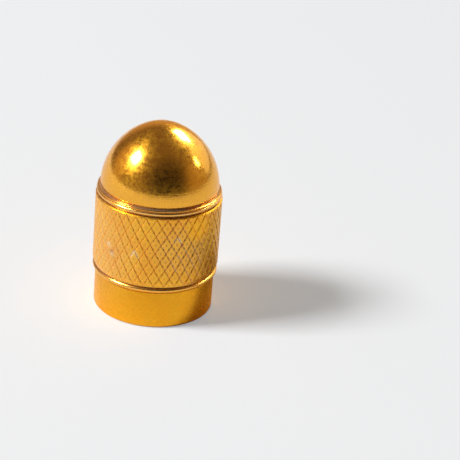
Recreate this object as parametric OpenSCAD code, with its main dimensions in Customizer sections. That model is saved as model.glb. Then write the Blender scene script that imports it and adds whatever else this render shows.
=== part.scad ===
// Domed metal tyre valve cap: a turned and knurled shell with a rubber seal in its bore.
// It stands on its open rim, with the rim in the plane z = 0 and the axis of the bore on Z.

/* [Shell] */
// Height from the rim to the top of the dome
cap_h = 17; // [16.5:0.1:20]
// Diameter of the plain skirt at the rim
skirt_d = 10.45; // [10.2:0.05:10.6]
// Rounding of the outer edge of the rim
rim_round = 0.24; // [0.1:0.02:0.4]
// Depth of the scribed line at the top of the skirt
line_depth = 0.06; // [0.03:0.01:0.1]
// Width of the scribed line
line_w = 0.12; // [0.08:0.01:0.2]

/* [Knurled band] */
// Diameter over the lands of the knurl
band_d = 11; // [10.9:0.05:11.5]
// Height of the lower end of the band above the rim
band_z = 4; // [3.6:0.05:4.4]
// Length of the band with its sloping edges
band_h = 6.52; // [5.6:0.02:6.8]
// Length along the axis of the lower sloping edge
low_edge_h = 0.42; // [0.2:0.02:0.6]
// Length along the axis of the upper sloping edge
top_edge_h = 0.1; // [0.06:0.02:0.2]
// Depth of both sloping edges below the lands
edge_depth = 0.12; // [0.08:0.01:0.15]
// Grooves of each hand around the band
knurl_starts = 38; // [30:1:44]
// Angle between a groove and the axis in degrees
knurl_angle = 30; // [25:1:36]
// Depth of a groove below the lands
knurl_depth = 0.09; // [0.06:0.01:0.16]
// Width of a groove at the lands, square to its run
groove_w = 0.26; // [0.2:0.01:0.45]

/* [Turned rings] */
// Width along the axis of the turned neck on each side of a ring
neck_w = 0.12; // [0.06:0.01:0.16]
// Depth of the necks below the lands of the knurl
neck_depth = 0.22; // [0.18:0.01:0.26]
// Radius of the rounded back of the ring below the band
low_ring_round = 0.21; // [0.16:0.01:0.24]
// How far that ring stays below the lands of the knurl
low_ring_drop = 0.03; // [0.02:0.01:0.12]
// Radius of the rounded back of the broad ring above the band
broad_ring_round = 0.19; // [0.15:0.01:0.21]
// How far the broad ring stays below the lands of the knurl
broad_ring_drop = 0.06; // [0.02:0.01:0.1]
// Radius of the rounded back of the thin ring at the foot of the dome
thin_ring_round = 0.07; // [0.05:0.01:0.08]
// How far the thin ring stays below the lands of the knurl
thin_ring_drop = 0.12; // [0.08:0.01:0.14]

/* [Dome] */
// Diameter of the dome at its foot
dome_d = 10.34; // [10.1:0.02:10.5]
// Radius of the rounded nose of the dome
nose_r = 3.95; // [3.4:0.05:4.6]
// Length along the axis of the undercut below the foot of the dome
undercut_h = 0.4; // [0.2:0.02:0.5]
// Depth of the undercut below the foot of the dome
undercut_depth = 0.13; // [0.06:0.01:0.2]

/* [Bore] */
// Diameter of the mouth at the rim
mouth_d = 8.6; // [8.2:0.05:9]
// Depth of the sloping mouth edge
mouth_edge_h = 0.5; // [0.3:0.05:0.7]
// Diameter of the plain lead-in, which clears the thread of a valve stem
lead_in_d = 7.84; // [7.8:0.02:8.1]
// Depth of the lead-in from the rim
lead_in_h = 0.8; // [0.75:0.05:1.4]
// Diameter of the bore over the crests of the thread
crest_d = 7.1; // [6.9:0.02:7.3]
// Depth of the end of the thread from the rim
thread_end = 7.9; // [6.5:0.1:8.5]
// Length along the axis of the sloping shoulder between the thread and the recess
shoulder_h = 0.2; // [0.1:0.05:0.4]
// Diameter of the recess that holds the seal
recess_d = 7.9; // [7.7:0.05:8.3]
// Length of the recess in front of the seal
recess_h = 0.1; // [0.05:0.05:0.6]

/* [Seal] */
// Thickness of the seal
seal_t = 1.2; // [0.8:0.1:1.3]
// Clearance between the edge of the seal and the wall of the recess
seal_gap = 0.04; // [0.02:0.01:0.1]
// Rounding of the edges of the seal
seal_round = 0.15; // [0.05:0.05:0.3]

/* [Hidden] */
$fn = 96;
// Extra length that lets a cutter run out of what it cuts
run_out = 1;
band_r = band_d / 2;
band_top = band_z + band_h;
neck_r = band_r - neck_depth;
skirt_r = skirt_d / 2;
dome_r = dome_d / 2;
crest_r = crest_d / 2;
recess_end = thread_end + shoulder_h + recess_h + seal_t;
// The rings follow the band upwards and downwards, each with a neck beside it
low_ring_z = band_z - neck_w - low_ring_round;
broad_ring_z = band_top + neck_w + broad_ring_round;
thin_ring_z = broad_ring_z + broad_ring_round + thin_ring_round;
dome_z = thin_ring_z + thin_ring_round;
// The flank of the dome is an arc that leaves the foot upright and meets the nose smoothly
nose_z = cap_h - nose_r;
nose_rise = nose_z - dome_z;
flank_r = (dome_r ^ 2 + nose_rise ^ 2 - nose_r ^ 2) / (2 * (dome_r - nose_r));
meet_z = dome_z + nose_rise * flank_r / (flank_r - nose_r);

// Half of the outline of the shell below the band: skirt, rounded rim and scribed line
module skirt_outline() {
    difference() {
        union() {
            translate([0, rim_round]) square([skirt_r, low_ring_z - rim_round]);
            square([skirt_r - rim_round, rim_round]);
            translate([skirt_r - rim_round, rim_round]) circle(rim_round);
        }
        translate([skirt_r, low_ring_z - low_ring_round - line_w / 2])
            polygon([[-line_depth, 0], [line_depth, line_w], [line_depth, -line_w]]);
    }
}

// Half of the outline of one turned ring with a rounded back
module ring_outline(z, back, drop) {
    translate([band_r - drop - back, z]) circle(back);
}

// Half of the outline of the core that carries the band and the rings
module core_outline() {
    translate([0, low_ring_z]) square([neck_r, dome_z - low_ring_z]);
    ring_outline(low_ring_z, low_ring_round, low_ring_drop);
    ring_outline(broad_ring_z, broad_ring_round, broad_ring_drop);
    ring_outline(thin_ring_z, thin_ring_round, thin_ring_drop);
}

// Half of the outline of the dome: undercut, flank and nose
module dome_outline() {
    difference() {
        intersection() {
            translate([dome_r - flank_r, dome_z]) circle(flank_r);
            translate([0, dome_z]) square([dome_r, meet_z - dome_z]);
        }
        translate([dome_r, dome_z])
            polygon([[0, undercut_h], [-undercut_depth, 0], [-undercut_depth, -run_out],
                [run_out, -run_out], [run_out, undercut_h]]);
    }
    intersection() {
        translate([0, nose_z]) circle(nose_r);
        translate([0, meet_z]) square([nose_r, cap_h - meet_z]);
    }
}

// Sleeve that the knurl is rolled into, with its two sloping edges
module band_blank() {
    rotate_extrude()
        polygon([
            [neck_r - neck_w, band_z],
            [band_r - edge_depth, band_z],
            [band_r, band_z + low_edge_h],
            [band_r, band_top - top_edge_h],
            [band_r - edge_depth, band_top],
            [neck_r - neck_w, band_top]
        ]);
}

// The knurl is a lattice of lozenges, whose borders are the grooves. A level is a ring of
// groove crossings, and the crossings of the next level stand half a lozenge further round.
lozenge_w = 2 * PI * band_r / knurl_starts;
level_h = lozenge_w / 2 / tan(knurl_angle);
levels = ceil((band_h + run_out) / level_h);
knurl_z = band_z + (band_h - levels * level_h) / 2;
// Lands of the cutter lie just outside the band, so that only its grooves touch metal
clear = knurl_depth / 3;
land_share = 1 - groove_w / 2 * (1 + clear / knurl_depth) / (lozenge_w / 2 * cos(knurl_angle));

// Point at a radius, a number of half lozenges round and a number of levels up
function at(r, half, level) = [
    r * cos(half * 180 / knurl_starts),
    r * sin(half * 180 / knurl_starts),
    knurl_z + level * level_h
];
function odd(level) = level % 2;

// Ring of grooves with their lands open, taken away from the blank
module knurl_cutter() {
    n = knurl_starts;
    around = [0:n - 1];
    all_levels = [0:levels];
    root = band_r - knurl_depth;
    land = band_r + clear;
    outer = band_r + run_out;
    crossings = [for (k = all_levels) for (j = around) at(root, 2 * j + odd(k), k)];
    lefts = [for (k = all_levels) for (j = around) at(land, 2 * j + odd(k) + 1 - land_share, k)];
    rights = [for (k = all_levels) for (j = around) at(land, 2 * j + odd(k) + 1 + land_share, k)];
    tops = [for (k = [0:levels - 1]) for (j = around) at(land, 2 * j + odd(k) + 1, k + land_share)];
    bottoms = [for (k = [1:levels]) for (j = around) at(land, 2 * j + odd(k) + 1, k - land_share)];
    low_ring = [for (j = around) at(outer, 2 * j, 0)];
    high_ring = [for (j = around) at(outer, 2 * j + odd(levels), levels)];
    count = n * (levels + 1);
    // Index of each kind of point
    function crossing(k, j) = k * n + j % n;
    function left(k, j) = count + k * n + j;
    function right(k, j) = 2 * count + k * n + j;
    function top(k, j) = 3 * count + k * n + j;
    function bottom(k, j) = 3 * count + (levels + k - 1) * n + j;
    function low(j) = 3 * count + 2 * levels * n + j % n;
    function high(j) = low(0) + n + j % n;
    upper_halves = [
        for (k = [0:levels - 1]) for (j = around)
            let (a = crossing(k, j), b = crossing(k, j + 1), c = crossing(k + 1, j + odd(k)))
            for (f = [
                [a, left(k, j), c], [left(k, j), top(k, j), c],
                [c, top(k, j), b], [top(k, j), right(k, j), b],
                [left(k, j), right(k, j), top(k, j)]
            ]) f
    ];
    lower_halves = [
        for (k = [1:levels]) for (j = around)
            let (a = crossing(k, j), b = crossing(k, j + 1), c = crossing(k - 1, j + odd(k)))
            for (f = [
                [a, c, left(k, j)], [left(k, j), c, bottom(k, j)],
                [c, b, bottom(k, j)], [bottom(k, j), b, right(k, j)],
                [left(k, j), bottom(k, j), right(k, j)]
            ]) f
    ];
    low_end = [
        for (j = around)
            for (f = [
                [crossing(0, j), low(j), left(0, j)], [left(0, j), low(j), low(j + 1)],
                [left(0, j), low(j + 1), right(0, j)],
                [right(0, j), low(j + 1), crossing(0, j + 1)]
            ]) f
    ];
    high_end = [
        for (j = around)
            let (k = levels)
            for (f = [
                [crossing(k, j), left(k, j), high(j)], [left(k, j), high(j + 1), high(j)],
                [left(k, j), right(k, j), high(j + 1)],
                [right(k, j), crossing(k, j + 1), high(j + 1)]
            ]) f
    ];
    outside = [
        for (j = around)
            for (f = [[low(j), high(j), low(j + 1)], [low(j + 1), high(j), high(j + 1)]]) f
    ];
    polyhedron(
        concat(crossings, lefts, rights, tops, bottoms, low_ring, high_ring),
        concat(upper_halves, lower_halves, low_end, high_end, outside)
    );
}

// Bore: mouth edge, lead-in, thread at its crests, and the recess of the seal
module bore() {
    lead_in_r = lead_in_d / 2;
    slope = (mouth_d / 2 - lead_in_r) / mouth_edge_h;
    rotate_extrude()
        polygon([
            [0, -run_out],
            [mouth_d / 2 + slope * run_out, -run_out],
            [lead_in_r, mouth_edge_h],
            [lead_in_r, lead_in_h],
            [crest_r, lead_in_h + lead_in_r - crest_r],
            [crest_r, thread_end],
            [recess_d / 2, thread_end + shoulder_h],
            [recess_d / 2, recess_end],
            [0, recess_end]
        ]);
}

module cap() {
    color("goldenrod")
        difference() {
            union() {
                rotate_extrude() {
                    skirt_outline();
                    core_outline();
                    dome_outline();
                }
                difference() {
                    band_blank();
                    knurl_cutter();
                }
            }
            bore();
        }
}

// Rubber disc pressed against the end of the recess
module seal() {
    r = recess_d / 2 - seal_gap;
    color("dimgray")
        translate([0, 0, recess_end - seal_t])
            rotate_extrude()
                intersection() {
                    union() {
                        square([r - seal_round, seal_t]);
                        translate([0, seal_round]) square([r, seal_t - 2 * seal_round]);
                        for (z = [seal_round, seal_t - seal_round])
                            translate([r - seal_round, z]) circle(seal_round);
                    }
                    square([r, seal_t]);
                }
}

cap();
seal();
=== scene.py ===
# %% [markdown]
# # A gold anodised valve cap
#
# A valve cap is turned from one bar of aluminium: a plain skirt, two rounded rings, a knurled
# band to grip and a domed end. Inside it holds a fine thread and a rubber seal. This lesson
# builds the shell and the seal as meshes, round the packed model that gives every size.

from math import acos, asin, atan2, cos, degrees, pi, radians, sin, tan

import bmesh
import bpy
from mathutils import Matrix, Vector


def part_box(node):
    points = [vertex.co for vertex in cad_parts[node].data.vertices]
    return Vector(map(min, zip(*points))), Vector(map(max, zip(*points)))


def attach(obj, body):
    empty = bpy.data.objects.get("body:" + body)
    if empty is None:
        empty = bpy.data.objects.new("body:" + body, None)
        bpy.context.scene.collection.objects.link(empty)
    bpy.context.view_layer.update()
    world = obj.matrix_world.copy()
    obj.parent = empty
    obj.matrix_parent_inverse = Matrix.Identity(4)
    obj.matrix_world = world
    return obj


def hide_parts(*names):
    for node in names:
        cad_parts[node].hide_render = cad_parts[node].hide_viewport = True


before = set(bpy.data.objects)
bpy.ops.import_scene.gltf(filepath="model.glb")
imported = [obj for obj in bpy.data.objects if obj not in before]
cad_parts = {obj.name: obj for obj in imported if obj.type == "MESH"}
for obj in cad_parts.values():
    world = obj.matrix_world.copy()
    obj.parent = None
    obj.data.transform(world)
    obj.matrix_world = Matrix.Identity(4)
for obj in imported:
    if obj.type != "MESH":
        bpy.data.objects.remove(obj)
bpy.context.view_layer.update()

# %% [markdown]
# ## Sizes
#
# The part is only 17 mm high, so the meshes are modelled in millimetres, where the mesh
# operators' tolerances suit it, and each finished mesh is scaled to metres. The height and the
# width over the knurl are read from the packed model, so the looks follow it when it changes.

# %% Read the main sizes
MM = 0.001
MICRON = 0.001 * MM
cap_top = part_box("cap")[1].z / MM
band_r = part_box("cap")[1].x / MM
seal_low, seal_high = (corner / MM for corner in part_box("seal"))
print(f"cap {cap_top:.2f} mm high, {2 * band_r:.2f} mm over the knurl")

# %% [markdown]
# ## Drawing a section
#
# Turned work is round, so half a section holds its whole shape. It could be typed in as a list
# of points, but a lathe operator's drawing is made of lines and arcs, and so is this one: a
# pencil that moves from point to point. An arc is the last vertex spun about the arc's centre,
# and the finished line is then spun about Z, as the bar turned in the lathe.

# %% Make the pencil
AROUND = 228
EDGE_BREAK = 0.018
SHARP_TURN = radians(24)
SAME_POINT = 1e-5


class Section:
    """Draws half a section in the XZ plane, line by line, as (radius, height)."""

    def __init__(self, r, z):
        self.mesh = bmesh.new()
        self.tip = self.mesh.verts.new((r, 0, z))

    def line(self, r, z):
        """A straight line to a point."""
        end = self.mesh.verts.new((r, 0, z))
        self.mesh.edges.new((self.tip, end))
        self.tip = end
        return self

    def arc(self, r, z, turn, steps):
        """An arc about the centre (r, z), through turn degrees, from outwards to upwards."""
        made = bmesh.ops.spin(self.mesh, geom=[self.tip], cent=(r, 0, z), axis=(0, -1, 0),
                              angle=radians(turn), steps=steps)
        self.tip = made["geom_last"][0]
        return self

    def lathe(self):
        """The solid of revolution, with its crisp corners broken by a small bevel."""
        mesh = self.mesh
        bmesh.ops.spin(mesh, geom=mesh.verts[:] + mesh.edges[:], cent=(0, 0, 0), axis=(0, 0, 1),
                       angle=2 * pi, steps=AROUND, use_merge=True)
        bmesh.ops.remove_doubles(mesh, verts=mesh.verts, dist=SAME_POINT)
        bmesh.ops.recalc_face_normals(mesh, faces=mesh.faces)
        crisp = [e for e in mesh.edges if e.is_manifold and e.calc_face_angle() > SHARP_TURN]
        bmesh.ops.bevel(mesh, geom=crisp, offset=EDGE_BREAK, offset_type="OFFSET", segments=2,
                        profile=0.5, affect="EDGES", clamp_overlap=True, material=-1)
        return mesh


def absorb(whole, part):
    """Put the mesh part into the mesh whole, and let go of part."""
    carrier = bpy.data.meshes.new("carrier")
    part.to_mesh(carrier)
    part.free()
    whole.from_mesh(carrier)
    bpy.data.meshes.remove(carrier)


print(f"turned parts have {AROUND} steps round the axis, corners broken by {EDGE_BREAK} mm")

# %% [markdown]
# ## Below the knurl
#
# The section starts inside the mouth, where the plain lead-in lets a valve stem find the
# thread. It goes down the sloping mouth edge, across the flat rim that the cap stands on, and up
# the skirt to a scribed line and the first rounded ring. The ring's back is an arc that ends
# where it meets the turned neck. The lead-in stops short of the thread by a narrow gap, which
# is closed when all the parts are made.

# %% Turn the mouth, the skirt and the low ring
GAP = 0.01
lead_in_r, lead_in_z = 3.92, 0.8
mouth_r, mouth_edge_h = 4.3, 0.5
skirt_r, rim_round = 5.225, 0.24
line_depth, line_w = 0.06, 0.12
neck_depth, neck_w = 0.22, 0.12
neck_r = band_r - neck_depth
band_z, band_h = 4.0, 6.52


def ring_angle(centre_r, back, at_r):
    """Degrees from straight outwards to where a ring's back crosses the radius at_r."""
    return degrees(acos((at_r - centre_r) / back))


low_back, low_inset = 0.21, 0.03
low_r = band_r - low_inset - low_back
low_z = band_z - neck_w - low_back
line_z = low_z - low_back - line_w / 2
start = -ring_angle(low_r, low_back, skirt_r)
end = ring_angle(low_r, low_back, neck_r)
skirt = Section(lead_in_r, lead_in_z - GAP).line(lead_in_r, mouth_edge_h)
skirt.line(mouth_r, 0).line(skirt_r - rim_round, 0)
skirt.arc(skirt_r - rim_round, rim_round, turn=90, steps=8)
skirt.line(skirt_r, line_z - line_w / 2).line(skirt_r - line_depth, line_z)
skirt.line(skirt_r, low_z + low_back * sin(radians(start)))
skirt.arc(low_r, low_z, turn=end - start, steps=16).line(neck_r, band_z)
shell = skirt.lathe()
print(f"skirt and low ring: {len(shell.faces)} faces")

# %% [markdown]
# ## Above the knurl
#
# The neck above the band leads to a broad ring and a thin one. The dome starts with an
# undercut, rises on a flank that leaves its foot upright, and closes in a rounder nose. Both
# arcs share their tangent where they meet, which is worked out from the cap's height, so no
# kink shows in the metal's reflections.

# %% Turn the rings and the dome
band_top = band_z + band_h
broad_back, broad_inset = 0.19, 0.06
thin_back, thin_inset = 0.07, 0.12
broad_r = band_r - broad_inset - broad_back
broad_z = band_top + neck_w + broad_back
thin_r = band_r - thin_inset - thin_back
thin_z = broad_z + broad_back + thin_back
dome_r, nose_r = 5.17, 3.95
dome_z = thin_z + thin_back
nose_z = cap_top - nose_r
undercut_h, undercut_depth = 0.4, 0.13
flank_r = (dome_r ** 2 + (nose_z - dome_z) ** 2 - nose_r ** 2) / (2 * (dome_r - nose_r))
foot_angle = degrees(asin(undercut_h / flank_r))
meet_angle = degrees(atan2(nose_z - dome_z, flank_r - dome_r))

broad_half = ring_angle(broad_r, broad_back, neck_r)
thin_half = ring_angle(thin_r, thin_back, neck_r)
dome = Section(neck_r, band_top).line(neck_r, broad_z - broad_back * sin(radians(broad_half)))
dome.arc(broad_r, broad_z, turn=2 * broad_half, steps=18)
dome.line(neck_r, thin_z - thin_back * sin(radians(thin_half)))
dome.arc(thin_r, thin_z, turn=2 * thin_half, steps=12)
dome.line(neck_r, dome_z).line(dome_r - undercut_depth, dome_z)
dome.line(dome_r - flank_r + flank_r * cos(radians(foot_angle)), dome_z + undercut_h)
dome.arc(dome_r - flank_r, dome_z, turn=meet_angle - foot_angle, steps=30)
dome.arc(0, nose_z, turn=90 - meet_angle, steps=14)
absorb(shell, dome.lathe())
print(f"flank arc {flank_r:.2f} mm up to {meet_angle:.1f} degrees, then the nose of {nose_r} mm")

# %% [markdown]
# ## The knurl
#
# A knurl is rolled by two wheels that press slanted grooves of both hands into the band and
# leave lozenges between them. Cutting 76 grooves out of a cylinder would need heavy boolean
# work. The pattern repeats, so one lozenge is made flat: its face is inset and raised, which
# leaves the groove's flanks round it, and the land's edge is rolled over by a bevel. Copies
# fill a flat sheet, and the sheet is rolled up round the axis. Hundreds of copies follow, so
# the lozenge has only a few dozen faces.

# %% Make one lozenge
STARTS = 38
KNURL_ANGLE = radians(30)
knurl_depth, groove_w = 0.055, 0.18
land_round = 0.03
lozenge_w = 2 * pi * band_r / STARTS
level_h = lozenge_w / 2 / tan(KNURL_ANGLE)

knurl = bmesh.new()
bmesh.ops.create_circle(knurl, cap_ends=True, segments=4, radius=1)
bmesh.ops.scale(knurl, vec=(lozenge_w / 2, level_h, 1), verts=knurl.verts)
land = knurl.faces[:]
bmesh.ops.inset_individual(knurl, faces=land, thickness=groove_w / 2, depth=knurl_depth,
                           use_even_offset=True)
bmesh.ops.bevel(knurl, geom=land[0].edges[:], offset=land_round, segments=2, profile=0.5,
                affect="EDGES", clamp_overlap=True, material=-1)
side = Vector((lozenge_w / 2, level_h, 0)).normalized()
NEARLY_ALONG = 0.02


def runs_with_side(edge):
    """Whether an edge of the lozenge runs along one of its four sides."""
    way = edge.verts[1].co - edge.verts[0].co
    return (Vector((abs(way.x), abs(way.y), 0)).normalized() - side).length < NEARLY_ALONG


bmesh.ops.subdivide_edges(knurl, edges=[e for e in knurl.edges if runs_with_side(e)], cuts=2,
                          use_grid_fill=True)
bmesh.ops.translate(knurl, vec=(0, 0, -knurl_depth), verts=knurl.verts)
print(f"lozenge {lozenge_w:.3f} by {2 * level_h:.3f} mm, {len(knurl.faces)} faces")

# %% [markdown]
# Copies are made by two counts: along a row, and then row upon row, with every other row half
# a lozenge further round. An array modifier would do it too, but here the counts show how the
# pattern is built. The sheet is longer than the band, so that it can be cut at both ends.

# %% Copy the lozenge over a sheet
WELD = 1e-4


def repeat(mesh, count, x, y):
    """Fill up to count copies of all that the mesh holds, each one step (x, y) further on."""
    first = mesh.verts[:] + mesh.edges[:] + mesh.faces[:]
    for k in range(1, count):
        copy = bmesh.ops.duplicate(mesh, geom=first)["geom"]
        moved = [g for g in copy if isinstance(g, bmesh.types.BMVert)]
        bmesh.ops.translate(mesh, vec=(x * k, y * k, 0), verts=moved)


levels = 10
knurl_z = band_z + (band_h - levels * level_h) / 2
bmesh.ops.translate(knurl, vec=(lozenge_w / 2, knurl_z, 0), verts=knurl.verts)
repeat(knurl, STARTS, lozenge_w, 0)
repeat(knurl, 2, lozenge_w / 2, level_h)
repeat(knurl, levels // 2 + 1, 0, 2 * level_h)
bmesh.ops.remove_doubles(knurl, verts=knurl.verts, dist=WELD)
print(f"sheet: {STARTS} lozenges in a row, {len(knurl.faces)} faces")

# %% [markdown]
# The band's sloping edges were turned after the knurling. The sheet is cut along the slope's
# plane, and what stands above that plane is laid down onto it, as the tool would have left it.
# Rolling up is a change of coordinates, which no operator offers, so it is done by moving each
# vertex: its place along the sheet becomes an angle.

# %% Trim the sheet and roll it up
ON_PLANE = 1e-6


def cut(mesh, point, normal, clear=False):
    """Cut the mesh by a plane, and clear what lies on the normal's side if asked."""
    bmesh.ops.bisect_plane(mesh, geom=mesh.verts[:] + mesh.edges[:] + mesh.faces[:],
                           dist=ON_PLANE, plane_co=point, plane_no=normal, clear_outer=clear)


def press(mesh, point, normal, side):
    """Cut along a slope, and press what stands before it (side 1) or behind it (-1) onto it."""
    cut(mesh, point, normal)
    for v in mesh.verts:
        off = (v.co - Vector(point)).dot(normal)
        if off * side > 0:
            v.co.z -= off / normal[2]


def roll_up(mesh, radius):
    """Roll a flat sheet round the axis: x goes round, y goes up and z goes outwards."""
    for v in mesh.verts:
        turn, out = v.co.x / radius, radius + v.co.z
        v.co = (out * cos(turn), out * sin(turn), v.co.y)
    bmesh.ops.remove_doubles(mesh, verts=mesh.verts, dist=WELD)


edge_depth = 0.12
low_edge_h, top_edge_h = 0.42, 0.1
cut(knurl, (0, band_z, 0), (0, -1, 0), clear=True)
cut(knurl, (0, band_top, 0), (0, 1, 0), clear=True)
press(knurl, (0, band_z, -edge_depth), (0, -edge_depth, low_edge_h), side=1)
press(knurl, (0, band_top, -edge_depth), (0, edge_depth, top_edge_h), side=1)
roll_up(knurl, band_r)
print(f"knurled band: {len(knurl.faces)} faces")
absorb(shell, knurl)

# %% [markdown]
# ## The thread
#
# The bore takes a valve stem's thread, 32 turns to the inch and right-handed. A thread could
# be spun as a spring is, but its ends have to run out into the plain lead-in and into the
# recess of the seal. So it is made like the knurl: one groove of the unrolled bore, copied up
# the sheet, pressed onto the slopes at both ends, and rolled up. Each groove climbs by one
# pitch in a turn, so the sheet's edges meet when it closes.

# %% Make the unrolled thread and roll it up
PITCH = 25.4 / 32
FLANK_ANGLE = radians(30)
TURN_STEPS = 128
crest_r, thread_end = 3.55, 7.9
thread_depth, crest_flat = 0.325, 0.25
flank_h = thread_depth * tan(FLANK_ANGLE)
root_flat = PITCH - crest_flat - 2 * flank_h
recess_r, shoulder_h = 3.95, 0.2
recess_z = thread_end + shoulder_h
lead_in_step = lead_in_r - crest_r

thread = bmesh.new()
foot = lead_in_z - 2 * PITCH
heights = [0, crest_flat, crest_flat + flank_h, crest_flat + flank_h + root_flat, PITCH]
depths = [0, 0, thread_depth, thread_depth, 0]
corners = [thread.verts.new((0, foot + h, d)) for h, d in zip(heights, depths)]
groove = [thread.edges.new(pair) for pair in zip(corners, corners[1:])]
far = bmesh.ops.extrude_edge_only(thread, edges=groove)["geom"]
bmesh.ops.translate(thread, vec=(2 * pi * crest_r, PITCH, 0),
                    verts=[g for g in far if isinstance(g, bmesh.types.BMVert)])
around = [e for e in thread.edges if abs(e.verts[0].co.x - e.verts[1].co.x) > crest_r]
bmesh.ops.subdivide_edges(thread, edges=around, cuts=TURN_STEPS - 1, use_grid_fill=True)
repeat(thread, int((recess_z - foot) / PITCH) + 2, 0, PITCH)
bmesh.ops.remove_doubles(thread, verts=thread.verts, dist=WELD)
cut(thread, (0, lead_in_z, 0), (0, -1, 0), clear=True)
cut(thread, (0, recess_z, 0), (0, 1, 0), clear=True)
press(thread, (0, lead_in_z, lead_in_step), (0, 1, 1), side=-1)
press(thread, (0, thread_end, 0), (0, crest_r - recess_r, shoulder_h), side=-1)
roll_up(thread, crest_r)
print(f"thread: {len(thread.faces)} faces, pitch {PITCH:.3f} mm, root {crest_r + thread_depth} mm")
absorb(shell, thread)

# %% [markdown]
# ## The recess and the closed shell
#
# Beyond the thread the bore widens to hold the seal, and ends flat. All the parts of the shell
# now end in open circles that face each other. Bridging two loops fills the narrow gap between
# them even where they have different numbers of vertices, and it does so in the necks and
# corners, where nobody sees the change. The mesh is then closed, so its volume can be measured
# and its faces can be turned outwards by one operator.

# %% Turn the recess and join everything
recess_end = seal_high.z
recess = Section(recess_r, recess_z + GAP).line(recess_r, recess_end).line(0, recess_end)
absorb(shell, recess.lathe())


def open_circle(r, z):
    """Boundary edges of the shell on the circle of radius r at height z."""
    def on_circle(v):
        return abs(Vector(v.co.xy).length - r) < GAP / 4 and abs(v.co.z - z) < GAP / 4
    return [e for e in shell.edges if e.is_boundary and all(on_circle(v) for v in e.verts)]


edge_r = band_r - edge_depth
for one, other in (
    ((lead_in_r, lead_in_z - GAP), (lead_in_r, lead_in_z)),
    ((neck_r, band_z), (edge_r, band_z)),
    ((neck_r, band_top), (edge_r, band_top)),
    ((recess_r, recess_z), (recess_r, recess_z + GAP)),
):
    loops = open_circle(*one), open_circle(*other)
    bmesh.ops.bridge_loops(shell, edges=loops[0] + loops[1])
    print(f"bridged {len(loops[0])} edges to {len(loops[1])} at height {one[1]:.2f} mm")
bmesh.ops.recalc_face_normals(shell, faces=shell.faces)
left_open = sum(not e.is_manifold for e in shell.edges)
print(f"shell: {shell.calc_volume():.1f} cubic mm, {left_open} edges not closed")

# %% [markdown]
# ## From a mesh to a piece
#
# A finished piece stands at the origin, unscaled, so it is the mesh that is scaled to metres
# and not the object. Smooth shading suits turned work, but a turned corner has to stay crisp:
# an edge that is sharper than an angle keeps its two faces apart. The piece then takes the
# place of a node of the packed model.

# %% Turn the mesh into a piece
SHARP_EDGE = radians(38)


def finish_piece(mesh, name, node):
    """Scale the mesh to metres, and let it stand for a node of the packed model."""
    bmesh.ops.scale(mesh, vec=(MM, MM, MM), verts=mesh.verts)
    data = bpy.data.meshes.new(name)
    mesh.to_mesh(data)
    mesh.free()
    data.shade_smooth()
    data.set_sharp_from_angle(angle=SHARP_EDGE)
    piece = bpy.data.objects.new(name, data)
    bpy.context.scene.collection.objects.link(piece)
    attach(piece, "root")
    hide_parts(node)
    data.calc_loop_triangles()
    print(f"{name}: {len(data.loop_triangles)} triangles")
    return piece


shell_piece = finish_piece(shell, "knurled_shell", "cap")

# %% [markdown]
# ## The seal
#
# The seal is a disc punched from rubber sheet and pressed to the end of the bore. Its section
# is drawn from the middle of one face round the rounded edge to the middle of the other.

# %% Turn the seal
seal_round = 0.15
round_r = seal_high.x - seal_round
disc = Section(0, seal_low.z).line(round_r, seal_low.z)
disc.arc(round_r, seal_low.z + seal_round, turn=90, steps=6)
disc.line(seal_high.x, seal_high.z - seal_round)
disc.arc(round_r, seal_high.z - seal_round, turn=90, steps=6).line(0, seal_high.z)
seal = disc.lathe()
bmesh.ops.recalc_face_normals(seal, faces=seal.faces)
seal_piece = finish_piece(seal, "seal_disc", "seal")

# %% [markdown]
# ## Writing materials as sums
#
# A finish is worked out from where a point lies on the piece, and that is arithmetic. Wiring
# Math nodes by hand hides it, so a small class wraps a socket and lets Python's own signs add
# the nodes.

# %% Wrap a socket as a number
class Num:
    """A number in a node tree. Sums on it add Math nodes."""

    def __init__(self, finish, socket):
        self.finish, self.socket = finish, socket

    def math(self, operation, *values):
        return self.finish.node("ShaderNodeMath", {"operation": operation}, dict(enumerate(values)))

    def __add__(self, other):
        return self.math("ADD", self, other)

    def __radd__(self, other):
        return self.math("ADD", other, self)

    def __sub__(self, other):
        return self.math("SUBTRACT", self, other)

    def __rsub__(self, other):
        return self.math("SUBTRACT", other, self)

    def __mul__(self, other):
        return self.math("MULTIPLY", self, other)

    def __rmul__(self, other):
        return self.math("MULTIPLY", other, self)

    def __truediv__(self, other):
        return self.math("DIVIDE", self, other)

    def __pow__(self, other):
        return self.math("POWER", self, other)

    def fraction(self):
        return self.math("FRACT", self)

    def size(self):
        return self.math("ABSOLUTE", self)


print("besides its signs a Num has:", ", ".join(name for name in vars(Num) if name[0] != "_"))

# %% [markdown]
# Every other node comes from one method, which sets the node's choices first and then its
# sockets. A few kinds are wanted again and again, so they get short names: the place on the
# piece, noise, a smooth step, the same step down, a blend of two colours and a mix of two
# surfaces. The room's light is made of nodes too, so the class takes a material or the world.

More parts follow.
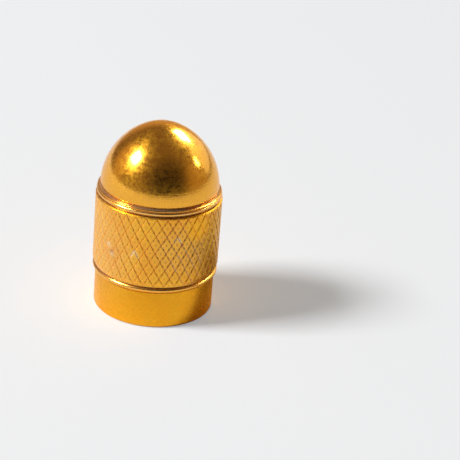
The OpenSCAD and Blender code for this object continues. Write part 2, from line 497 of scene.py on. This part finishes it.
# %% Make the finish's tools
class Finish:
    """The nodes of one material, or of the world."""

    def __init__(self, owner):
        owner.use_nodes = True
        self.owner, self.tree = owner, owner.node_tree
        self.tree.nodes.clear()

    def node(self, kind, choices=None, values=None, output=0):
        """Add a node: its type, its choices, and the values or links of its sockets."""
        made = self.tree.nodes.new(kind)
        for key, choice in (choices or {}).items():
            setattr(made, key, choice)
        for key, value in (values or {}).items():
            socket = made.inputs[key]
            if isinstance(value, Num):
                self.tree.links.new(value.socket, socket)
            else:
                socket.default_value = value
        return Num(self, made.outputs[output])

    def place(self):
        """Where a point lies on its piece, in millimetres."""
        metres = self.node("ShaderNodeTexCoord", output=3)
        return self.node("ShaderNodeVectorMath", {"operation": "SCALE"}, {0: metres, 3: 1 / MM})

    def noise(self, vector, scale, w, detail, roughness):
        """Soft noise from 0 to 1 at a place in four dimensions."""
        return self.node("ShaderNodeTexNoise", {"noise_dimensions": "4D"},
                         {"Vector": vector, "W": w, "Scale": scale, "Detail": detail,
                          "Roughness": roughness})

    def step(self, value, low, high, start=0.0, end=1.0):
        """A smooth step: start below low, end above high."""
        return self.node("ShaderNodeMapRange", {"interpolation_type": "SMOOTHSTEP"},
                         {0: value, 1: low, 2: high, 3: start, 4: end})

    def fall(self, value, low, high):
        """A smooth step down: 1 below low, 0 above high."""
        return self.step(value, low, high, 1.0, 0.0)

    def blend(self, factor, one, other):
        """A colour between two colours."""
        return self.node("ShaderNodeMix", {"data_type": "RGBA"},
                         {0: factor, 6: one, 7: other}, output=2)

    def mix(self, factor, one, other):
        """A surface between two surfaces."""
        return self.node("ShaderNodeMixShader", values={0: factor, 1: one, 2: other})

    def use(self, shader, output_kind="ShaderNodeOutputMaterial"):
        """Make a shader the owner's surface."""
        output = self.tree.nodes.new(output_kind)
        self.tree.links.new(shader.socket, output.inputs["Surface"])
        print(f"{self.owner.name}: {len(self.tree.nodes)} nodes")
        return self.owner


print("a finish can make:", ", ".join(name for name in vars(Finish) if name[0] != "_"))

# %% [markdown]
# ## Anodised aluminium
#
# Anodising grows a clear, dyed skin on bright metal. One metal shader is either bright or
# satin, and a used cap is both at once: a bright core shows through a haze of fine wear. So two
# metals of one colour are mixed, and noises set their shares, one of which runs round the axis
# as turning marks do. The dome and the rings were polished, the band and the skirt are more
# satin, and a thin clear coat over all of it whitens the highlights. The first step finds the
# way round the cap: where a point lies, and which part of the cap that is. A tiny amount keeps
# the radius above zero on the axis, because the bearing is divided by it.

# %% Find the way round the cap
gold = Finish(bpy.data.materials.new("gold_anodised"))
place = gold.place()
split = gold.tree.nodes.new("ShaderNodeSeparateXYZ")
gold.tree.links.new(place.socket, split.inputs[0])
x, y, z = (Num(gold, s) for s in split.outputs)
ON_AXIS = 1e-4
r = (x * x + y * y + ON_AXIS) ** 0.5


def between(low, high, blur):
    """1 where the height lies from low to high, with blurred ends."""
    return gold.step(z, low, low + blur) * gold.fall(z, high - blur, high)


on_dome = gold.step(z, dome_z - 0.06, dome_z + 0.34)
on_rings = (between(band_top, dome_z + 0.24, 0.05)
            + between(low_z - low_back - 0.03, band_z + 0.03, 0.03))
on_band = between(band_z, band_top, 0.1)
print(f"parts of the cap: {len(gold.tree.nodes)} nodes")

# %% [markdown]
# Turning leaves fine marks that run round the cap. Plain noise is alike in every direction, so
# for these marks the place is stretched: the bearing changes it slowly, and the radius and the
# height change it fast. The plain noises stand for what has no direction: grain, mottling,
# flakes of wear and clouds in the dye.

# %% Make the marks of turning and the plain noises
def round_marks(length, fine, w, detail):
    """Noise that runs round the axis: long round it, short along the surface."""
    vector = gold.node("ShaderNodeCombineXYZ", values={0: x / r * length, 1: y / r * length,
                                                       2: r * fine})
    return gold.noise(vector, scale=1.0, w=z * fine + w, detail=detail, roughness=0.6)


marks = round_marks(length=1.2, fine=5.0, w=0.0, detail=3.0)
scratches = round_marks(length=2.6, fine=14.0, w=7.0, detail=2.0)
streaks = round_marks(length=0.9, fine=2.2, w=3.0, detail=2.0)
grain = gold.noise(place, scale=9.0, w=2.0, detail=3.0, roughness=0.65)
mottle = gold.noise(place, scale=3.2, w=8.0, detail=4.0, roughness=0.65)
clouds = gold.noise(place, scale=0.55, w=5.0, detail=2.0, roughness=0.5)
flakes = gold.noise(place, scale=5.0, w=11.0, detail=3.0, roughness=0.7)
print(f"marks and noises: {len(gold.tree.nodes)} nodes")

# %% [markdown]
# The finish can follow the knurl without any picture of it. The bearing of a point, counted in
# grooves, plus or minus its height, counted in lozenges, is a whole number at the bottom of a
# groove. The same sum doubled finds the half way lines, where worn knurling wheels leave a
# faint second track, and their crossings dot the lands.

# %% Count the knurl's grooves
turns = y.math("ARCTAN2", y, x) * (STARTS / (2 * pi))
climb = (z - knurl_z) / (2 * level_h)


def off_line(phase):
    """Distance from the nearest groove of one hand, as a share of the grooves' spacing."""
    return ((phase + 0.5).fraction() - 0.5).size()


right_hand = off_line(turns - climb)
left_hand = off_line(turns + climb)
nearest = left_hand.math("MINIMUM", left_hand, right_hand)
half_left = off_line((turns + climb) * 2)
half_right = off_line((turns - climb) * 2)
dots = gold.fall(half_left, 0.08, 0.3) * gold.fall(half_right, 0.08, 0.3)
left_bottoms = gold.fall(left_hand, 0.03, 0.1)
left_edges = gold.fall(left_hand, 0.05, 0.16) * on_band
right_edges = gold.fall(right_hand, 0.05, 0.16) * on_band
in_groove = gold.fall(nearest, 0.06, 0.14) * on_band
groove_edges = gold.fall(nearest, 0.06, 0.18) * on_band
print(f"with the knurl's grooves: {len(gold.tree.nodes)} nodes")

# %% [markdown]
# A used cap carries the marks of its use: dull haze and dirt where fingers gripped it, bare
# metal where the dye was rubbed off, and specks of rust from elsewhere. Beside them a painted
# shade darkens the band's right side, a clean spot lifts that shade again, and painted glints
# brighten some groove edges there. Most are soft balls round places on the band, each given by
# its bearing, its height and its size, and the rings are worn on their crests. Scuffs sit on the
# edges of the lands below a crossing of grooves, so the nearest crossing is found from the same
# two sums as the grooves.

# %% Place the marks of use
def near(bearing, height, size):
    """How near the surface is to a place on the band: 1 within a third of size, 0 beyond it."""
    centre = (band_r * cos(radians(bearing)), band_r * sin(radians(bearing)), height)
    away = gold.node("ShaderNodeVectorMath", {"operation": "DISTANCE"}, {0: place, 1: centre},
                     output=1)
    return gold.fall(away, size * 0.33, size)


def crossing(bearing, height):
    """The bearing and height of the crossing of grooves nearest to a place."""
    turn, rise = bearing / 360 * STARTS, (height - knurl_z) / (2 * level_h)
    one, other = round(turn - rise), round(turn + rise)
    return (one + other) / 2 * 360 / STARTS, knurl_z + (other - one) * level_h


def chevron(bearing, height, size):
    """A scuff on the two lands' edges below a crossing of grooves."""
    bearing, height = crossing(bearing, height)
    return near(bearing, height - size / 2, size) * gold.fall(z, height, height + 0.1)


soiled = near(bearing=-66, height=7.6, size=3.4) * on_band
haze = (near(bearing=-172, height=6, size=7.5) * gold.fall(z, band_top, band_top + 0.1)
        * (0.45 + on_band * 0.55))
# Painted shade: a darker patch over the band's right side, which is not dirt.
painted_right_shade = near(bearing=-22, height=7, size=5.0) * on_band
rubbed = near(bearing=-58, height=6.0, size=2.6) * left_edges
# A spot without dirt or dust, which also lifts the painted shade there.
clean_and_unshaded = near(bearing=-49, height=9.3, size=1.7)
# Painted glints: a brighter colour on the right-hand groove edges in one spot.
painted_glints = near(bearing=-33, height=8.0, size=2.3) * right_edges
crests = (on_rings * gold.step(r, neck_r + 0.04, band_r - 0.06) * gold.step(mottle, 0.3, 0.6)
          * gold.step(z, band_z, band_top, 0.5, 1.0))
chips = (chevron(bearing=-134, height=7.15, size=0.5)
         + chevron(bearing=-129.3, height=6.5, size=0.4)
         + chevron(bearing=-108, height=7.0, size=0.62)
         + near(bearing=-70, height=8.4, size=0.5))
worn = (chips * groove_edges * gold.step(flakes, 0.3, 0.5)
        + rubbed * gold.step(flakes, 0.42, 0.62) * 0.6 + crests * 0.4)
rusty = near(bearing=-132.5, height=6.5, size=0.3) + near(bearing=-66, height=8.0, size=0.22)
print(f"with the marks of use: {len(gold.tree.nodes)} nodes")

# %% [markdown]
# The colour is built up one coat over another: dye in uneven clouds, a deeper tone on the
# skirt, a purer one on what was polished, grime in the knurl's pits, painted shade along the
# bottoms of the left-hand grooves and on the band's right side, painted shade with some grime
# in the necks, specks of rust, painted glints on a few groove edges, and pale metal on top where
# the dye is rubbed off.

# %% Lay the colours over each other
GOLD = (0.95, 0.49, 0.017, 1)
ORANGE = (0.93, 0.43, 0.011, 1)
DEEP = (0.78, 0.35, 0.010, 1)
POLISHED = (0.93, 0.46, 0.030, 1)
GRIME_AND_SHADE = (0.30, 0.13, 0.02, 1)
RUST = (0.50, 0.14, 0.03, 1)
# The colour of the painted glints.
GLINT_PAINT = (1.0, 0.62, 0.04, 1)
BARE = (0.92, 0.74, 0.42, 1)

# Darker in the necks between the rings: partly grime, partly painted shade.
in_neck = (gold.fall(r, band_r - 0.215, band_r - 0.17) * gold.step(z, low_z, low_z + 0.15)
           * gold.step(z, thin_z, dome_z, 1.0, 0.5) * gold.fall(z, dome_z, dome_z + 0.15))
specks = dots * (0.4 + soiled * 0.4)
# Painted shade along the bottoms of the left-hand grooves, stronger where the band is soiled.
painted_groove_shade = left_bottoms * (0.03 + soiled * 0.08)
# Grime, with the painted shades of the grooves, the band's right side and the necks added.
grime_and_shade = ((on_band * (specks + painted_groove_shade + (flakes - 0.55) * 0.4) + painted_right_shade * 0.42) * (1 - clean_and_unshaded)
         + in_neck * 0.8)
colour = gold.blend(gold.step(clouds, 0.35, 0.68), GOLD, ORANGE)
for cover, coat in (
    (gold.step(z, low_z - 0.3, low_z, 0.4, 0.0), DEEP),
    (on_dome + on_rings, POLISHED),
    (grime_and_shade, GRIME_AND_SHADE),
    (rusty * 0.85, RUST),
    (painted_glints * 0.9, GLINT_PAINT),
    (worn * 0.7, BARE),
):
    colour = gold.blend(cover, colour, coat)
print(f"with the colours: {len(gold.tree.nodes)} nodes")

# %% [markdown]
# The fine relief is a bump, because its marks are only microns deep, far below what a mesh
# should hold. It is deepest on the dome, where it breaks up the long highlights. The clear
# coat is thickest on the polished parts and thin on the skirt.

# %% Make the relief and the two metals
tooth = (marks - 0.5) * 0.10 + (grain - 0.5) * (0.06 + on_band * 0.1 + on_dome * 0.08)
relief = (marks * (0.8 + on_dome * 4.0)
          + scratches * (0.5 + on_dome * 2.0)
          + grain * (0.2 + on_band * 1.6 + on_dome * 4.0)
          + mottle * (on_dome * 8.0 + on_band * 2.0)
          - dots * on_band * 5)
bumps = gold.node("ShaderNodeBump", values={"Strength": 1.0, "Distance": MICRON,
                                            "Height": relief})
skin = 0.1 + gold.step(z, low_z, band_z) * 0.2 + (on_dome + on_rings) * 0.18


def metal(roughness, stretch):
    """Dyed metal with a thin clear skin, stretched across the turning marks."""
    return gold.node("ShaderNodeBsdfPrincipled", values={
        "Base Color": colour, "Metallic": 1.0, "Roughness": roughness, "Normal": bumps,
        "Anisotropic": stretch, "Anisotropic Rotation": 0.25,
        "Specular Tint": (1.0, 0.9, 0.75, 1), "Coat Weight": skin, "Coat Roughness": 0.16,
        "Coat IOR": 1.6})


bright_rough = 0.25 - on_dome * 0.12 - on_rings * 0.07 + tooth + worn * 0.2
matt_rough = 0.46 - on_dome * 0.09 - on_rings * 0.08 + in_groove * 0.16 + tooth
bright = metal(bright_rough, stretch=0.0)
matt = metal(matt_rough, stretch=0.3)
share = (0.38 + in_groove * 0.45 - on_rings * 0.2 - on_dome * 0.07 + (streaks - 0.5) * 0.45
         + (grain - 0.5) * 0.3 + (mottle - 0.5) * (0.7 + on_dome * 0.8))
body = gold.mix(share, bright, matt)
print(f"with the metals: {len(gold.tree.nodes)} nodes")

# %% [markdown]
# Dust and grime are not metal: they send light back in all directions. So a little plain
# diffuse surface is mixed in last, pale dust in a haze over the band and a dark film in the
# necks, which is partly dirt and partly painted shade. Each has one colour of its own, and the
# masks only set the shares.

# %% Dust the metal
DUST = (0.82, 0.72, 0.55, 1)
NECK_DIRT_AND_SHADE = (0.26, 0.15, 0.06, 1)


def powder(tone):
    """A dull layer of one colour."""
    return gold.node("ShaderNodeBsdfDiffuse", values={"Color": tone, "Normal": bumps})


# Dust, and in the necks a dark film that is partly dirt and partly painted shade.
dust_and_neck_shade = gold.mix(in_neck, powder(DUST), powder(NECK_DIRT_AND_SHADE))
dull_share = ((0.005 + on_band * (0.035 + (flakes - 0.5) * 0.06) - painted_right_shade * 0.035 + haze * 0.09
          + soiled * 0.07) * (1 - clean_and_unshaded) + worn * 0.12 + in_neck * 0.45)
shell_piece.data.materials.append(gold.use(gold.mix(dull_share, body, dust_and_neck_shade)))

# %% [markdown]
# ## Rubber
#
# Seal rubber is matt and nearly black, with the fine cloth-like grain of rolled sheet. It is
# seen only through the bore, but it still catches some light there, so it gets its own grain
# in colour, roughness and bump.

# %% Mix the rubber
BLACK = (0.018, 0.017, 0.016, 1)
CHALKY = (0.05, 0.047, 0.042, 1)

rubber = Finish(bpy.data.materials.new("seal_rubber"))
spot = rubber.place()
rolled = rubber.noise(spot, scale=6.0, w=1.0, detail=4.0, roughness=0.6)
bloom = rubber.noise(spot, scale=1.3, w=3.0, detail=3.0, roughness=0.6)
sheet_grain = rubber.node("ShaderNodeBump", values={"Strength": 0.5, "Distance": 0.02 * MM,
                                                    "Height": rolled})
block = rubber.node("ShaderNodeBsdfPrincipled", values={
    "Base Color": rubber.blend(rubber.step(bloom, 0.45, 0.75), BLACK, CHALKY),
    "Roughness": 0.62 + rolled * 0.25, "Normal": sheet_grain})
seal_piece.data.materials.append(rubber.use(block))

# %% [markdown]
# ## The set
#
# The cap stands on pale paper, which is large, so that nearly every downward reflection meets
# it. To the camera it looks a little paler and cooler than its light makes it, which a share of
# plain glow does for camera rays alone, and it keeps the shadow.

# %% Lay the paper
PAPER_SIDE = 3.0
PAPER = (0.88, 0.90, 0.925, 1)
PAPER_GLOW = (0.91, 1.02, 1.12, 1)
GLOW_SHARE = 0.3

paper = bmesh.new()
bmesh.ops.create_grid(paper, x_segments=1, y_segments=1, size=PAPER_SIDE / 2)
paper_data = bpy.data.meshes.new("paper")
paper.to_mesh(paper_data)
paper.free()
floor = bpy.data.objects.new("paper", paper_data)
bpy.context.scene.collection.objects.link(floor)
pale = Finish(bpy.data.materials.new("pale_paper"))
dull = pale.node("ShaderNodeBsdfDiffuse", values={"Color": PAPER})
glowing = pale.node("ShaderNodeEmission", values={"Color": PAPER_GLOW, "Strength": 1.0})
to_camera = pale.node("ShaderNodeLightPath", output=0)
floor.data.materials.append(pale.use(pale.mix(to_camera * GLOW_SHARE, dull, glowing)))

# %% [markdown]
# Polished metal has no look of its own, it shows what stands round it, so the lights hang
# where the photograph shows their reflections in the dome. The softbox on the left lights the
# cap and the paper, and casts the one shadow. Behind on the right hang a second softbox, a
# wide dim glow and a narrow strip. They are linked to the cap alone, so they show in the metal
# and throw no second shadow.

# %% Hang the softboxes
LAMP_DISTANCE = 2.0


def direction(bearing, rise):
    """The unit vector towards a bearing and a rise, both in degrees."""
    level = cos(radians(rise))
    return Vector((level * cos(radians(bearing)), level * sin(radians(bearing)), sin(radians(rise))))


def softbox(name, bearing, rise, width, height, radiance):
    """An area lamp at a bearing and a rise from the cap, turned towards it."""
    lamp = bpy.data.lights.new(name, "AREA")
    lamp.shape = "RECTANGLE"
    lamp.size, lamp.size_y = width, height
    lamp.energy = pi * width * height * radiance
    holder = bpy.data.objects.new(name, lamp)
    bpy.context.scene.collection.objects.link(holder)
    aim = direction(bearing, rise)
    middle = Vector((0, 0, cap_top * MM / 2))
    holder.matrix_world = (Matrix.Translation(middle + aim * LAMP_DISTANCE)
                           @ aim.to_track_quat("Z", "Y").to_matrix().to_4x4())
    print(f"{name}: {width} by {height} m, {lamp.energy:.1f} W")
    return holder


key_light = softbox("key_light", bearing=-168.5, rise=41.5, width=0.58, height=0.52, radiance=49)
key_light.data.color = (0.995, 1.0, 1.01)
back_light = softbox("back_light", bearing=53, rise=43, width=0.68, height=0.62, radiance=27)
back_glow = softbox("back_glow", bearing=42, rise=24, width=1.8, height=1.5, radiance=0.75)
side_light = softbox("side_light", bearing=10, rise=27, width=0.16, height=0.34, radiance=15)
cap_only = bpy.data.collections.new("cap_only")
cap_only.objects.link(shell_piece)
cap_only.objects.link(seal_piece)
for lamp in (back_light, back_glow, side_light):
    lamp.light_linking.receiver_collection = cap_only

# %% [markdown]
# The room is the world's colour by direction, dim and warm. Soft lobes shape it: brighter
# along the horizon behind the cap, round the left softbox and low on the right, and darkest
# behind the camera, where a photographer keeps the studio dark. The camera itself sees only
# pale grey.

# %% Light the room
ROOM_LIGHT = 0.17
PALE_GREY = 0.871
WARM = (1, 0.64, 0.3, 1)
NEUTRAL = (1, 1, 1, 1)

world = bpy.data.worlds.new("room")
bpy.context.scene.world = world
room = Finish(world)
look = room.node("ShaderNodeTexCoord", output=0)


def lobe(bearing, rise, start, end):
    """How much a direction lies near a bearing and a rise, from cosines start to end."""
    closeness = room.node("ShaderNodeVectorMath", {"operation": "DOT_PRODUCT"},
                          {0: look, 1: direction(bearing, rise)}, output=1)
    return room.step(closeness, start, end)


horizon = lobe(bearing=93, rise=8, start=0.78, end=1.0) * 0.36
round_softbox = lobe(bearing=170, rise=22, start=0.86, end=0.99) * 0.3
low_right = lobe(bearing=-10, rise=11, start=0.8, end=0.99) * 0.2
dark_studio = lobe(bearing=-74, rise=18, start=0.6, end=0.99) * 0.88
glow = (ROOM_LIGHT + horizon + round_softbox + low_right) * (1 - dark_studio)
seen = room.node("ShaderNodeLightPath", output=0)
strength = glow * (1 - seen) + seen * PALE_GREY
backdrop = room.node("ShaderNodeBackground", values={"Color": room.blend(seen, WARM, NEUTRAL),
                                                     "Strength": strength})
room.use(backdrop, "ShaderNodeOutputWorld")

# %% [markdown]
# ## The camera
#
# The camera was found from the photograph's own ellipses: each turned ring is a circle, and
# how open it looks gives the height of the eye. The camera looks at the middle of the rim,
# leans by a small roll, and is turned so that the rim's middle falls on its pixel.

# %% Set the camera
FRAME_PX = 460
FOCAL_PX = 1847.35
RIM_MIDDLE_PX = (152.33, 299.89)
EYE_RISE = radians(27.487)
EYE_DISTANCE = 164.689 * MM
ROLL = radians(3.7256)
NEAR_LIMIT, FAR_LIMIT = 0.01, 10

camera_data = bpy.data.cameras.new("camera")
camera_data.sensor_width = 36
camera_data.lens = FOCAL_PX / FRAME_PX * camera_data.sensor_width
camera_data.clip_start, camera_data.clip_end = NEAR_LIMIT, FAR_LIMIT
camera = bpy.data.objects.new("camera", camera_data)
bpy.context.scene.collection.objects.link(camera)
eye = Vector((0, -cos(EYE_RISE), sin(EYE_RISE))) * EYE_DISTANCE
ray = Vector((RIM_MIDDLE_PX[0] - FRAME_PX / 2, FRAME_PX / 2 - RIM_MIDDLE_PX[1], -FOCAL_PX))
facing = ((-eye).to_track_quat("-Z", "Y").to_matrix() @ Matrix.Rotation(ROLL, 3, "Z")
          @ ray.rotation_difference(Vector((0, 0, -1))).to_matrix())
camera.matrix_world = Matrix.Translation(eye) @ facing.to_4x4()
bpy.context.scene.camera = camera
bpy.context.scene.view_settings.view_transform = "Standard"
print(f"lens {camera_data.lens:.1f} mm, eye at {eye}")

# %% [markdown]
